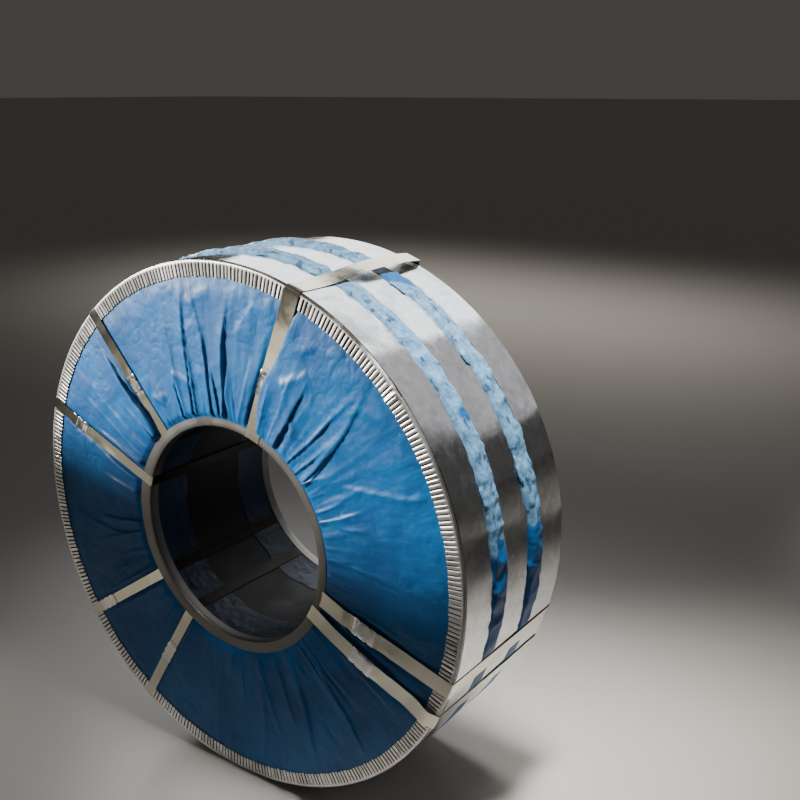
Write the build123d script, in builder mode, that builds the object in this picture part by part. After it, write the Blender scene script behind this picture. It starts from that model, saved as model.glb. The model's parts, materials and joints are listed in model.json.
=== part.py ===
from build123d import *
from math import atan2, cos, degrees, pi, radians, sin
import os

os.makedirs("parts", exist_ok=True)

# Steel coil: one slit strip wound on a 508 mm mandrel
coil_width = 400.0
coil_od = 1206.0
coil_bore = 508.0
turn_group_build = 118.0
turn_group_shift = 1.5

# Clearance between nested layers
seat_gap = 0.3

# Woven wrap, one sheet folded over both ends and tucked into the bore
wrap_thickness = 1.3
wrap_tuck = 110.0
pleat_pile = 3.0

# Outer edge rings, L section of galvanised strip with a crimped flange
edge_sheet = 0.8
outer_flange = 34.0
outer_leg = 30.0
flute_pitch = 10.3
flute_depth = 1.6
flute_share = 0.5
flute_runout = 2.0

# Inner edge rings, plain L section
inner_flange = 25.0
inner_leg = 25.0

# Galvanised bands round the coil, with the wrap showing between them
band_thickness = 0.8
band_width = 98.0
band_edge_margin = 7.0
band_lap = 60.0
band_lap_angles = (42.0, 152.0, 148.0)

# Eye straps, through the bore and round the outside, with crimped seals
strap_widths = (38.0, 25.4, 25.4, 25.4, 25.4, 38.0, 38.0)
strap_thickness = 0.8
strap_gap = 0.1
strap_angles = (70.9, 131.8, 161.1, 214.0, 238.5, 333.7, 343.1)
seal_length = 57.0
seal_thickness = 0.8
seal_gap = 0.2
seal_notch_width = 3.5
seal_notch_depth = 5.0
seal_notch_spacing = 24.0
seal_radii = (387.0, 398.0, 506.0, 529.0, 430.0, 412.0, 390.0)

# Radii, from the steel outwards and from the steel inwards
steel_outer = coil_od / 2
steel_inner = coil_bore / 2
wrap_outer = steel_outer + seat_gap + wrap_thickness
ring_leg_inner = wrap_outer + seat_gap
ring_leg_outer = ring_leg_inner + edge_sheet
band_inner = ring_leg_outer + seat_gap
band_outer = band_inner + band_thickness
wrap_bore = steel_inner - seat_gap - wrap_thickness
inner_leg_outer = wrap_bore - seat_gap
inner_leg_inner = inner_leg_outer - edge_sheet
outer_flange_edge = ring_leg_outer - outer_flange
inner_flange_edge = inner_leg_inner + inner_flange

# Distances of the end faces from mid width
steel_end = coil_width / 2
wrap_rim = steel_end + seat_gap + wrap_thickness
wrap_slope = pleat_pile / (wrap_outer - wrap_bore)
wrap_eye = wrap_rim + pleat_pile
outer_ring_back = wrap_rim + wrap_slope * (wrap_outer - outer_flange_edge) + seat_gap
outer_ring_front = outer_ring_back + edge_sheet + flute_depth
inner_ring_back = wrap_eye + seat_gap
inner_ring_front = inner_ring_back + edge_sheet

# The coil lies on its bands, with its axis along Y
axis_height = band_outer
coil_axis = Axis((0, 0, axis_height), (0, 1, 0))


def side_plane(angle):
    """Half plane of a turned profile: local x runs along the axis, local y outwards."""
    turn = radians(angle)
    return Plane(origin=(0, 0, axis_height), x_dir=(0, 1, 0), z_dir=(sin(turn), 0, -cos(turn)))


top = side_plane(90)
front_plane = Plane(origin=(0, -outer_ring_front, axis_height), x_dir=(1, 0, 0), z_dir=(0, -1, 0))


# Steel coil: turned solid whose groups of turns stand a little in or out at the ends
group_edge = steel_inner + turn_group_build
with BuildPart() as steel_coil:
    with BuildSketch(top):
        with BuildLine():
            Polyline(
                (-steel_end, steel_inner),
                (steel_end - turn_group_shift, steel_inner),
                (steel_end - turn_group_shift, group_edge),
                (steel_end, group_edge),
                (steel_end, steel_outer),
                (-steel_end + turn_group_shift, steel_outer),
                (-steel_end + turn_group_shift, group_edge),
                (-steel_end, group_edge),
                close=True,
            )
        make_face()
    revolve(axis=coil_axis)
steel_coil.part.label = "steel_coil"
export_step(steel_coil.part, "parts/steel_coil.step")

# Woven wrap: C section round the outside, over both ends and into the bore
tuck_end = wrap_rim - wrap_tuck
with BuildPart() as woven_wrap:
    with BuildSketch(top):
        with BuildLine():
            Polyline(
                (-tuck_end, wrap_bore),
                (-wrap_eye, wrap_bore),
                (-wrap_rim, wrap_outer),
                (wrap_rim, wrap_outer),
                (wrap_eye, wrap_bore),
                (tuck_end, wrap_bore),
                (tuck_end, wrap_bore + wrap_thickness),
                (steel_end + seat_gap, wrap_bore + wrap_thickness),
                (steel_end + seat_gap, wrap_outer - wrap_thickness),
                (-steel_end - seat_gap, wrap_outer - wrap_thickness),
                (-steel_end - seat_gap, wrap_bore + wrap_thickness),
                (-tuck_end, wrap_bore + wrap_thickness),
                close=True,
            )
        make_face()
    revolve(axis=coil_axis)
woven_wrap.part.label = "woven_wrap"
export_step(woven_wrap.part, "parts/woven_wrap.step")

# One flute of the crimped flange: a V groove, deepest at the flange's free edge, that rises
# to the surface just short of the bend. It starts inside the edge and stands a little proud.
flute_count = round(2 * pi * ring_leg_outer / flute_pitch)
flute_run = ring_leg_outer - flute_runout - outer_flange_edge
flute_half = flute_share * pi * outer_flange_edge / flute_count
flute_rise = atan2(flute_depth, flute_run)
flute_lead = 3.0
flute_proud = 0.2
flute_start = Vector(
    outer_flange_edge - flute_lead * cos(flute_rise), 0, -flute_depth - flute_lead * sin(flute_rise)
)
groove_grow = 1 + (flute_proud + flute_lead * sin(flute_rise)) / flute_depth
groove_plane = Plane(
    origin=flute_start, x_dir=(0, 1, 0), z_dir=(cos(flute_rise), 0, sin(flute_rise))
)
with BuildPart() as flute:
    with BuildSketch(groove_plane):
        with BuildLine():
            Polyline(
                (0, 0),
                (flute_half * groove_grow, flute_depth * groove_grow),
                (-flute_half * groove_grow, flute_depth * groove_grow),
                close=True,
            )
        make_face()
    extrude(amount=flute_run + 2 * flute_lead)

# Outer edge rings: the leg lies round the coil, the fluted flange over its end. The free edge
# runs straight from groove to groove.
with BuildPart(front_plane) as outer_edge_ring_front:
    with BuildSketch(front_plane):
        Circle(ring_leg_outer)
        RegularPolygon(outer_flange_edge, flute_count, mode=Mode.SUBTRACT)
    extrude(amount=outer_ring_back - outer_ring_front)
    with BuildSketch(front_plane):
        Circle(ring_leg_outer)
        Circle(ring_leg_inner, mode=Mode.SUBTRACT)
    extrude(amount=-outer_leg)
    with PolarLocations(0, flute_count):
        add(flute.part, mode=Mode.SUBTRACT)
outer_edge_ring_front.part.label = "outer_edge_ring_front"
export_step(outer_edge_ring_front.part, "parts/outer_edge_ring_front.step")

with BuildPart() as outer_edge_ring_rear:
    mirror(outer_edge_ring_front.part, about=Plane.XZ)
outer_edge_ring_rear.part.label = "outer_edge_ring_rear"
export_step(outer_edge_ring_rear.part, "parts/outer_edge_ring_rear.step")

# Inner edge rings: the flange covers the gathered pleats, the leg lines the eye
with BuildPart() as inner_edge_ring_front:
    with BuildSketch(top):
        with BuildLine():
            Polyline(
                (-inner_ring_front, inner_leg_inner),
                (-inner_ring_front, inner_flange_edge),
                (-inner_ring_back, inner_flange_edge),
                (-inner_ring_back, inner_leg_outer),
                (-inner_ring_front + inner_leg, inner_leg_outer),
                (-inner_ring_front + inner_leg, inner_leg_inner),
                close=True,
            )
        make_face()
    revolve(axis=coil_axis)
inner_edge_ring_front.part.label = "inner_edge_ring_front"
export_step(inner_edge_ring_front.part, "parts/inner_edge_ring_front.step")

with BuildPart() as inner_edge_ring_rear:
    mirror(inner_edge_ring_front.part, about=Plane.XZ)
inner_edge_ring_rear.part.label = "inner_edge_ring_rear"
export_step(inner_edge_ring_rear.part, "parts/inner_edge_ring_rear.step")

# Bands: a strip round the coil whose tail laps over its head
band_reach = outer_ring_front - band_edge_margin - band_width / 2
band_places = {"front": -band_reach, "middle": 0.0, "rear": band_reach}
lap_arc = degrees(band_lap / band_outer)
for (place, band_mid), lap_angle in zip(band_places.items(), band_lap_angles):
    with BuildPart() as band:
        with BuildSketch(top):
            with Locations((band_mid, (band_inner + band_outer) / 2)):
                Rectangle(band_width, band_thickness)
        revolve(axis=coil_axis)
        with BuildSketch(side_plane(lap_angle + lap_arc / 2)):
            with Locations((band_mid, band_outer + band_thickness / 2)):
                Rectangle(band_width, band_thickness)
        revolve(axis=coil_axis, revolution_arc=lap_arc)
    band.part.label = f"outer_band_{place}"
    export_step(band.part, f"parts/outer_band_{place}.step")

# Where an eye strap's inner side runs: over the bands, straight to the inner ring, into the eye
rim_y = outer_ring_front + strap_gap
rim_r = band_outer + band_thickness + strap_gap
eye_y = inner_ring_front + strap_gap
eye_r = inner_leg_inner - strap_gap
strap_lean = (eye_y - rim_y) / (rim_r - inner_flange_edge)
strap_reach = max(strap_widths)

# Outline of a strap's inner side, radius and distance from mid width, drawn past rim and eye
strap_outline = [
    (eye_r - strap_reach, eye_y),
    (inner_flange_edge, eye_y),
    (rim_r + strap_reach, rim_y - strap_lean * strap_reach),
]

# What an eye strap goes round: flat at the ends, curved over the rim and in the eye
with BuildPart() as strap_core:
    with BuildSketch(Plane.XY):
        with BuildLine():
            Polyline(
                *[(r, y) for r, y in strap_outline],
                *[(r, -y) for r, y in reversed(strap_outline)],
                close=True,
            )
        make_face()
    extrude(amount=strap_reach, both=True)
    with BuildSketch(Plane.XZ):
        Circle(rim_r)
        Circle(eye_r, mode=Mode.SUBTRACT)
    extrude(amount=coil_width, both=True, mode=Mode.INTERSECT)

# Eye straps: closed loops of flat steel strapping round that core, in two stock widths
for number, (angle, width) in enumerate(zip(strap_angles, strap_widths), start=1):
    with BuildPart() as strap_loop:
        with BuildSketch(Plane.XY):
            with BuildLine():
                Polyline(
                    *[(r, y + strap_thickness) for r, y in strap_outline],
                    *[(r, -y - strap_thickness) for r, y in reversed(strap_outline)],
                    close=True,
                )
            make_face()
        extrude(amount=width / 2, both=True)
        with BuildSketch(Plane.XZ):
            Circle(rim_r + strap_thickness)
            Circle(eye_r - strap_thickness, mode=Mode.SUBTRACT)
        extrude(amount=coil_width, both=True, mode=Mode.INTERSECT)
        add(strap_core.part, mode=Mode.SUBTRACT)
    with BuildPart() as strap:
        with Locations((0, 0, axis_height)):
            add(strap_loop.part, rotation=(0, -angle, 0))
    strap.part.label = f"eye_strap_{number}"
    export_step(strap.part, f"parts/eye_strap_{number}.step")

# Seals: a short sleeve closed round each strap on the front face, notched where it was crimped
seal_inner = strap_thickness + 2 * seal_gap
seal_outer = seal_inner + 2 * seal_thickness
for number, angle in enumerate(strap_angles, start=1):
    radius = seal_radii[number - 1]
    seal_hollow = strap_widths[number - 1] + 2 * seal_gap
    seal_width = seal_hollow + 2 * seal_thickness
    turn = radians(angle)
    outward = Vector(cos(turn), 0, sin(turn))
    middle_y = rim_y + strap_lean * (rim_r - radius) + strap_thickness / 2
    middle = outward * radius + Vector(0, -middle_y, axis_height)
    along = (outward + Vector(0, strap_lean, 0)).normalized()
    across = Vector(-sin(turn), 0, cos(turn))
    with BuildPart() as seal:
        with BuildSketch(Plane(origin=middle, x_dir=across, z_dir=along)):
            Rectangle(seal_width, seal_outer)
            Rectangle(seal_hollow, seal_inner, mode=Mode.SUBTRACT)
        extrude(amount=seal_length / 2, both=True)
        with BuildSketch(Plane(origin=middle, x_dir=across, z_dir=across.cross(along))):
            with GridLocations(seal_width, seal_notch_spacing, 2, 2):
                Rectangle(2 * seal_notch_depth, seal_notch_width)
        extrude(amount=seal_outer, both=True, mode=Mode.SUBTRACT)
    seal.part.label = f"strap_seal_{number}"
    export_step(seal.part, f"parts/strap_seal_{number}.step")
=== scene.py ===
import json
import math

import bpy
import numpy as np
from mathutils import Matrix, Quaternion, Vector, noise


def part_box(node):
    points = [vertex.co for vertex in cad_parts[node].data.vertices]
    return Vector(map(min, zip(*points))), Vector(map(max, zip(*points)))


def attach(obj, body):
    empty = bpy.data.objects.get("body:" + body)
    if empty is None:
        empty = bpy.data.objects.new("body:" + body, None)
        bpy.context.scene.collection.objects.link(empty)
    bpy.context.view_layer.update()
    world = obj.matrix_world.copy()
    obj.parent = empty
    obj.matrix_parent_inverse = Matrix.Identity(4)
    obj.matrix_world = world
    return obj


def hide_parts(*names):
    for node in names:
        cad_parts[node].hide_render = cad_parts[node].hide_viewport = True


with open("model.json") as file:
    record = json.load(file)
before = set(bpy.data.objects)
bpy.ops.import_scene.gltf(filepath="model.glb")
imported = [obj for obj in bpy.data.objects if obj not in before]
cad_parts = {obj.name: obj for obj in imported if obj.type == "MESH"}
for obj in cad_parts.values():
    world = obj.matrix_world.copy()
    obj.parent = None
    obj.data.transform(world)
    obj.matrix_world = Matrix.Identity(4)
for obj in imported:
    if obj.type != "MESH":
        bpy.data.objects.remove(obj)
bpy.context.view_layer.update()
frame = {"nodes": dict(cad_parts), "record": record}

# %% [markdown]
# A wrapped coil of slit steel strip lies on its side. Everything about it is turned round one
# axis, so the whole lesson works in coil coordinates: a distance y along the axis, a radius and
# a polar angle, seen from the front end, with 0 at the right and 90 at the top. The sizes come
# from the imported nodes, so the dress always fits the solids.

# %% Measures taken from the frame
MM = 0.001
steel_low, steel_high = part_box("steel_coil")
axis_z = (steel_low.z + steel_high.z) / 2
steel_end = steel_high.y
steel_radius = steel_high.x
ring_low, ring_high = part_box("outer_edge_ring_front")
ring_face = -ring_low.y
ring_leg = ring_high.y - ring_low.y
ring_radius = ring_high.x
eye_low, eye_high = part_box("inner_edge_ring_front")
eye_face = -eye_low.y
eye_leg = eye_high.y - eye_low.y
eye_flange_radius = eye_high.x
bore_radius = frame["record"]["mounts"][0]["dims"]["r_mm"] * MM
band_places = ("front", "middle", "rear")
band_boxes = {place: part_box("outer_band_" + place) for place in band_places}
band_radius = -band_boxes["middle"][0].x
sheet = 0.8 * MM
gap = 0.3 * MM
print("axis height", round(axis_z, 4), "band radius", round(band_radius, 4))


def place(y, radius, angle):
    """Points of the row frame for coil coordinates, numbers or arrays, angle in radians."""
    y, radius, angle = np.broadcast_arrays(y, radius, angle)
    return np.stack([radius * np.cos(angle), y, axis_z + radius * np.sin(angle)], axis=-1)


def noise_at(points, scale, shift=0.0):
    """Smooth noise between -1 and 1 at an array of points, with features about scale metres wide."""
    flat = (points.reshape(-1, 3) / scale + shift).tolist()
    return np.array([noise.noise(p) for p in flat]).reshape(points.shape[:-1])


def turns(angle):
    """Angles in radians wrapped to -pi .. pi."""
    return (angle + math.pi) % (2 * math.pi) - math.pi


def smooth(low, high, value):
    """0 below low, 1 above high, with a soft step between them."""
    t = np.clip((value - low) / (high - low), 0, 1)
    return t * t * (3 - 2 * t)


# %% [markdown]
# Shader maths reads best as ordinary sums, so one small class wraps a node socket. Sums of two
# of its values add Math nodes, and every other node comes from one method that takes the type,
# its settings and what goes into its sockets.

# %% A socket that can be reckoned with
class Value:
    """A socket of a material's tree."""

    def __init__(self, tree, socket):
        self.tree = tree
        self.socket = socket

    def node(self, kind, settings=None, **inputs):
        """A new node in this tree. Inputs are named by socket, or by i and its number."""
        made = self.tree.nodes.new(kind)
        for key, value in (settings or {}).items():
            if key == "stops":
                ramp = made.color_ramp
                while len(ramp.elements) < len(value):
                    ramp.elements.new(0.5)
                for stop, (position, colour) in zip(ramp.elements, value):
                    stop.position = position
                    stop.color = (*colour, 1) if len(colour) == 3 else colour
            else:
                setattr(made, key, value)
        for key, value in inputs.items():
            by_number = key[0] == "i" and key[1:].isdigit()
            self.feed(made.inputs[int(key[1:]) if by_number else key.replace("_", " ")], value)
        return made

    def feed(self, socket, value):
        """Links a value to a socket, or writes a number or a colour into it."""
        if isinstance(value, Value):
            self.tree.links.new(value.socket, socket)
        else:
            socket.default_value = value

    def out(self, made, name=0):
        return Value(self.tree, made.outputs[name])

    def sum(self, operation, *values):
        inputs = {f"i{n}": value for n, value in enumerate(values)}
        return self.out(self.node("ShaderNodeMath", {"operation": operation}, **inputs))

    def __add__(self, other):
        return self.sum("ADD", self, other)

    def __sub__(self, other):
        return self.sum("SUBTRACT", self, other)

    def __rsub__(self, other):
        return self.sum("SUBTRACT", other, self)

    def __mul__(self, other):
        return self.sum("MULTIPLY", self, other)

    def __abs__(self):
        return self.sum("ABSOLUTE", self)

    __radd__ = __add__
    __rmul__ = __mul__

    def wave(self):
        return self.sum("SINE", self)

    def step(self, low, high):
        """0 below low and 1 above high, with a soft step between them."""
        made = self.node("ShaderNodeMapRange", {"interpolation_type": "SMOOTHSTEP"},
                         Value=self, From_Min=low, From_Max=high)
        return self.out(made)

    def mix(self, first, second):
        """A colour between two, by this value."""
        made = self.node("ShaderNodeMix", {"data_type": "RGBA"}, i0=self, i6=first, i7=second)
        return self.out(made, 2)

    def bump(self, strength, distance, before=None):
        inputs = {"Strength": strength, "Distance": distance, "Height": self}
        if before is not None:
            inputs["Normal"] = before
        return self.out(self.node("ShaderNodeBump", **inputs), "Normal")


class Finish:
    """A material with its places to start from and its surface shader."""

    def __init__(self, name):
        self.material = bpy.data.materials.new(name)
        self.material.use_nodes = True
        self.tree = self.material.node_tree
        self.shader = self.tree.nodes["Principled BSDF"]
        self.start = Value(self.tree, None)
        coordinates = self.start.node("ShaderNodeTexCoord")
        self.here = self.start.out(coordinates, "Object")
        self.uv = self.start.out(coordinates, "UV")

    def set(self, **inputs):
        for key, value in inputs.items():
            self.start.feed(self.shader.inputs[key.replace("_", " ")], value)

    def scaled(self, vector, factors):
        made = self.start.node("ShaderNodeVectorMath", {"operation": "MULTIPLY"}, i0=vector, i1=factors)
        return self.start.out(made)

    def cloud(self, size, detail=3.0, rough=0.55, vector=None):
        """Noise from 0 to 1 with features about size metres wide."""
        made = self.start.node("ShaderNodeTexNoise", Vector=vector or self.here, Scale=1 / size,
                               Detail=detail, Roughness=rough)
        return self.start.out(made)

    def crystals(self, size):
        """A random colour for each of the Voronoi cells, which are about size metres wide."""
        made = self.start.node("ShaderNodeTexVoronoi", Vector=self.here, Scale=1 / size)
        return self.start.out(made, "Color")

    def painted(self, name):
        """The share that a mesh carries on its vertices under this name."""
        made = self.start.node("ShaderNodeAttribute", {"attribute_name": name})
        return self.start.out(made, "Fac")

    def split(self, vector):
        made = self.start.node("ShaderNodeSeparateXYZ", Vector=vector)
        return [self.start.out(made, n) for n in range(3)]


# %% [markdown]
# The wrap is cloth woven from flat polypropylene tapes about 2.5 mm wide, coated on one side so
# that it looks satin and slightly wet. The tapes go over and under each other, which a small
# chequer of two crossed waves gives. Crumples too fine for the mesh are bump: soft dents from plain
# noise, sharp bends from noise folded over at its middle, and drawn lines from noise stretched
# along the cloth. The sharp bends are worn pale too. The mesh carries two shares of its own: how
# far the cloth is chalky, which is partly fading and partly painted light on the upper side of the
# coil, with dark hollows of painted shade, and how far it is painted near black as the eye's shade.

# %% Woven cloth
def cloth_finish():
    finish = Finish("wrap_cloth")
    across, along, _ = finish.split(finish.uv)
    tape = 2.6 * MM
    wave_across, wave_along = (across * (math.pi / tape)).wave(), (along * (math.pi / tape)).wave()
    over = wave_across * wave_along
    tape_edges = abs(wave_across) * abs(wave_along)
    stains_and_shade = finish.cloud(0.15, 4)
    streaks = finish.cloud(0.012, 5, 0.65, finish.scaled(finish.uv, (1.0, 0.14, 1.0))).step(0.5, 0.8)
    rubbed = finish.cloud(0.016, 5, 0.75).step(0.5, 0.75)
    patches = finish.cloud(0.16, 3).step(0.42, 0.62)
    bent = abs(finish.cloud(0.07, 1.0) - 0.5) + 0.5 * abs(finish.cloud(0.03, 1.0) - 0.5)
    worn = bent.step(0.022, 0.0) * finish.cloud(0.05, 4).step(0.48, 0.62)
    deep = (0.003, 0.085, 0.27, 1)
    bright = (0.006, 0.14, 0.39, 1)
    pale = (0.06, 0.26, 0.52, 1)
    chalky_lit = (0.20, 0.38, 0.53, 1)
    colour = stains_and_shade.step(0.3, 0.7).mix(deep, bright)
    colour = (0.2 * rubbed + 0.3 * streaks + 0.5 * worn).mix(colour, pale)
    # Chalky cloth: partly fading, partly painted light where the top of the coil is lit
    chalky_and_lit = (finish.painted("faded") + 1.3 * (finish.cloud(0.02, 5, 0.7) - 0.5)).step(0.3, 0.75)
    colour = (chalky_and_lit * (0.35 + 0.6 * finish.cloud(0.012, 5, 0.7).step(0.35, 0.6))).mix(colour, chalky_lit)
    # Painted shade: dark hollows in the chalky cloth
    hollow = finish.cloud(0.03, 3, 0.6, finish.scaled(finish.here, (1.0, 1.6, 1.0))).step(0.42, 0.36)
    colour = (hollow * chalky_and_lit * 0.75).mix(colour, (0.004, 0.035, 0.1, 1))
    # Painted shade: the cloth tucked into the eye is made near black
    colour = finish.painted("oiled").mix(colour, (0.002, 0.006, 0.012, 1))
    colour = (0.87 + 0.13 * over).mix((0, 0, 0, 1), colour)
    crumple = finish.cloud(0.045, 2, 0.4)
    dented = bent * (0.35 + 0.65 * patches)
    drawn = finish.cloud(0.016, 1, 0.4, finish.scaled(finish.uv, (1.0, 0.16, 1.0)))
    normal = crumple.bump(0.28, 4 * MM)
    normal = dented.bump(0.6, 12 * MM, normal)
    normal = drawn.bump(0.5, 2.0 * MM, normal)
    normal = (over * 0.5 + tape_edges).bump(0.3, 0.3 * MM, normal)
    roughness = 0.4 + 0.14 * finish.cloud(0.06, 3) + 0.1 * rubbed
    finish.set(Base_Color=colour, Roughness=roughness, Normal=normal)
    finish.set(Specular_IOR_Level=0.25, Coat_Weight=0.06, Coat_Roughness=0.25)
    return finish.material


cloth = cloth_finish()
print("finish", cloth.name)

# %% [markdown]
# Galvanised sheet is a mirror that never got quite flat: zinc crystals, the spangle, each reflect
# a little differently, and handling leaves grease and fine scratches. Cells from a Voronoi
# texture give the spangle, and a wide low noise makes the reflections waver as on real bands.
# Rings and straps also carry a share on their meshes that darkens them, mostly painted shade: black in the
# grooves and the eye.

# %% Galvanised sheet
def zinc_finish(name, shine, spangle, tint, wobble, takes_shade_and_dirt=False):
    """Zinc coated steel: shine is its least roughness, spangle the crystals' share, wobble the bump."""
    finish = Finish(name)
    crystal, other, _ = finish.split(finish.crystals(14 * MM))
    grease_and_shade = finish.cloud(0.11, 5, 0.6).step(0.45, 0.75)
    scuff = finish.cloud(0.012, 6, 0.7, finish.scaled(finish.here, (1.0, 0.12, 1.0))).step(0.55, 0.8)
    clean = tuple(min(1.0, c * 1.12) for c in tint) + (1,)
    dull = tuple(c * 0.72 for c in tint) + (1,)
    colour = (crystal * spangle + grease_and_shade * 0.5 + scuff * 0.5).mix(clean, dull)
    roughness = shine + 0.10 * other * spangle + 0.14 * grease_and_shade + 0.12 * scuff
    if takes_shade_and_dirt:
        # Painted shade from the mesh, black in the grooves and the eye, which also makes the metal duller
        dirt = finish.painted("dirt") * (0.75 + 0.5 * finish.cloud(0.03, 3))
        colour = dirt.step(0.04, 0.6).mix(colour, (0.02, 0.017, 0.014, 1))
        roughness = roughness + 0.4 * dirt
    normal = finish.cloud(0.06, 2).bump(wobble, 1.5 * MM)
    normal = crystal.bump(0.06 * spangle, 0.3 * MM, normal)
    finish.set(Base_Color=colour, Roughness=roughness, Normal=normal, Metallic=1.0)
    return finish.material


# Each: name, shine, spangle, tint, wobble, and whether its mesh carries painted shade and dirt
band_metal = zinc_finish("band_steel", 0.10, 0.5, (0.74, 0.75, 0.76), 0.14)
ring_metal = zinc_finish("edge_steel", 0.26, 0.2, (0.80, 0.79, 0.75), 0.12, True)
strap_metal = zinc_finish("strap_steel", 0.13, 0.1, (0.66, 0.64, 0.52), 0.3, True)
seal_metal = zinc_finish("seal_steel", 0.16, 0.1, (0.74, 0.73, 0.68), 0.5)
inner_metal = zinc_finish("inner_steel", 0.42, 0.1, (0.20, 0.19, 0.175), 0.3)

# %% [markdown]
# The bare steel of the coil shows in the eye alone, dull with oil, with fine scuffs that run round it.
# Its colour is made nearly black as painted shade of the deep eye. The imported solid is good enough
# there, so it stays and takes a finish.

# %% Oiled steel of the coil
def coil_finish():
    finish = Finish("coil_steel")
    lines = finish.cloud(2 * MM, 2, 0.5, finish.scaled(finish.here, (0.4, 4.0, 0.4)))
    oil = finish.cloud(0.09, 4).step(0.4, 0.7)
    # Painted shade: both tones are nearly black so that the eye reads dark
    finish.set(Base_Color=oil.mix((0.028, 0.028, 0.03, 1), (0.016, 0.0155, 0.015, 1)),
               Roughness=0.62 - 0.15 * oil, Normal=lines.bump(0.2, 0.3 * MM))
    finish.set(Metallic=0.6, Specular_IOR_Level=0.2)
    return finish.material


coil_metal = coil_finish()
for slot in frame["nodes"]["steel_coil"].material_slots:
    slot.material = coil_metal
print("finishes", [m.name for m in (band_metal, ring_metal, strap_metal, seal_metal, coil_metal)])

# %% [markdown]
# Most pieces are skins over a grid that closes round the coil. One helper turns a grid of points
# into a mesh: rows run along the section, columns run round the axis, and a section that closes
# on itself gives a solid ring of sheet metal.

# %% From a grid of points to a piece
def grid_faces(rows, columns, close_rows, close_columns=True, first=0):
    """Quads of a grid, whose vertices are numbered row by row from first on."""
    down = np.arange(rows if close_rows else rows - 1)
    round_it = np.arange(columns if close_columns else columns - 1)
    a = (down[:, None] * columns + round_it[None, :]).ravel()
    b = (down[:, None] * columns + (round_it[None, :] + 1) % columns).ravel()
    c = (((down[:, None] + 1) % rows) * columns + (round_it[None, :] + 1) % columns).ravel()
    d = (((down[:, None] + 1) % rows) * columns + round_it[None, :]).ravel()
    return (np.stack([a, b, c, d], axis=1) + first).tolist()


def capped_faces(rows, columns):
    """Faces of a closed section carried along an open way, with both its ends shut."""
    faces = grid_faces(rows, columns, True, False)
    faces.append([r * columns for r in range(rows)])
    faces.append([r * columns + columns - 1 for r in reversed(range(rows))])
    return faces


def make_piece(name, points, faces, material, node, sharp=None):
    """A mesh object on body root that stands for a node. Bends over sharp degrees look like edges."""
    mesh = bpy.data.meshes.new(name)
    mesh.from_pydata(points.reshape(-1, 3).tolist(), [], faces)
    mesh.materials.append(material)
    mesh.polygons.foreach_set("use_smooth", np.ones(len(mesh.polygons), bool))
    if sharp is not None:
        mesh.set_sharp_from_angle(angle=math.radians(sharp))
    mesh.update()
    piece = bpy.data.objects.new(name, mesh)
    bpy.context.scene.collection.objects.link(piece)
    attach(piece, "root")
    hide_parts(node)
    print(name, "triangles", sum(len(f.vertices) - 2 for f in mesh.polygons))
    return piece


def paint(piece, name, shares):
    """Gives each vertex its share from 0 to 1, under a name that the finish reads."""
    layer = piece.data.attributes.new(name, "FLOAT", "POINT")
    layer.data.foreach_set("value", shares)


# %% [markdown]
# Seven eye straps cross each end. Their places come first, since the cloth is pressed down along
# them. Three are wider than the others. Some were pulled over the inner ring and some were there
# before it, so that they dive under its flange. Each run on an end is straight from rim to eye.

# %% Places of the eye straps
# Angles in degrees at the rim and at the eye, the rest in mm. Half: half the strap's width. Over: it
# lies over the inner ring. Spring: how far it has sprung off the bands. Seal: radius of the seal's
# middle. Lapped: how far the cloth on the right lies over the strap, at radii from eye to rim.
BARE = [(0, 0), (700, 0)]
LAPPED = [(265, 0), (290, 12), (339, 27), (388, 27), (413, 24), (437, 16), (462, 11), (511, 5), (570, 0)]
FIELDS = ("rim", "eye", "half", "over", "bow", "kink", "spring", "seal", "lapped")
WIDE, NARROW = 19.0, 12.7
places = [
    (70.2, 71.6, WIDE, True, 1.0, 0.4, 15, 387, LAPPED),
    (131.2, 132.4, NARROW, False, 1.6, 0.6, 2, 398, BARE),
    (159.6, 162.6, NARROW, True, 2.2, 0.8, 1.5, 506, BARE),
    (214.0, 214.0, NARROW, False, 1.6, 0.6, 0, 529, BARE),
    (238.5, 238.5, NARROW, False, 1.8, 0.8, 0, 430, BARE),
    (333.9, 333.5, WIDE, True, 3.5, 1.6, 1, 412, BARE),
    (342.4, 343.8, WIDE, False, 3.5, 1.2, 1, 390, BARE),
]
straps = [dict(zip(FIELDS, row), seed=5.0 + 1.7 * number) for number, row in enumerate(places)]
# How far the two kinked straps stand off the end, at radii from eye to rim
straps[5]["stands"] = [(258, 0), (275, 2.0), (300, 5.0), (335, 8.0), (372, 9.5), (444, 10.0),
                       (455, 8.5), (536, 2.5), (545, 2.8), (584, 8.5), (597, 4.0), (604, 0)]
straps[6]["stands"] = [(258, 0), (275, 1.5), (341, 8.0), (350, 4.5), (360, 5.5), (420, 6.5),
                       (432, 5.0), (597, 0.5), (604, 0)]
# Between a strap and what it lies on, and between it and the inner ring that lies over it
touch = 0.1 * MM
slip = 0.15 * MM
strap_rim = band_radius + sheet + touch
strap_low = ring_face + touch


def strap_in(strap):
    """Radius of a strap's inner side in the eye: inside the ring's leg, or between it and the cloth."""
    return bore_radius - touch if strap["over"] else bore_radius + 2 * sheet + slip


def strap_eye(strap):
    """Distance from mid width of a strap's inner side where it meets the inner ring's flange."""
    return eye_face + touch if strap["over"] else eye_face - 2 * sheet - slip


def strap_line(strap, radius):
    """Polar angle of a strap's middle at a radius on an end: a straight line, not a spiral."""
    first, last = math.radians(strap["rim"]), math.radians(strap["eye"])
    t = np.clip((strap_rim - radius) / (strap_rim - bore_radius), 0, 1)
    across = (1 - t) * strap_rim * math.cos(first) + t * bore_radius * math.cos(last)
    up = (1 - t) * strap_rim * math.sin(first) + t * bore_radius * math.sin(last)
    return np.arctan2(up, across)


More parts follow.
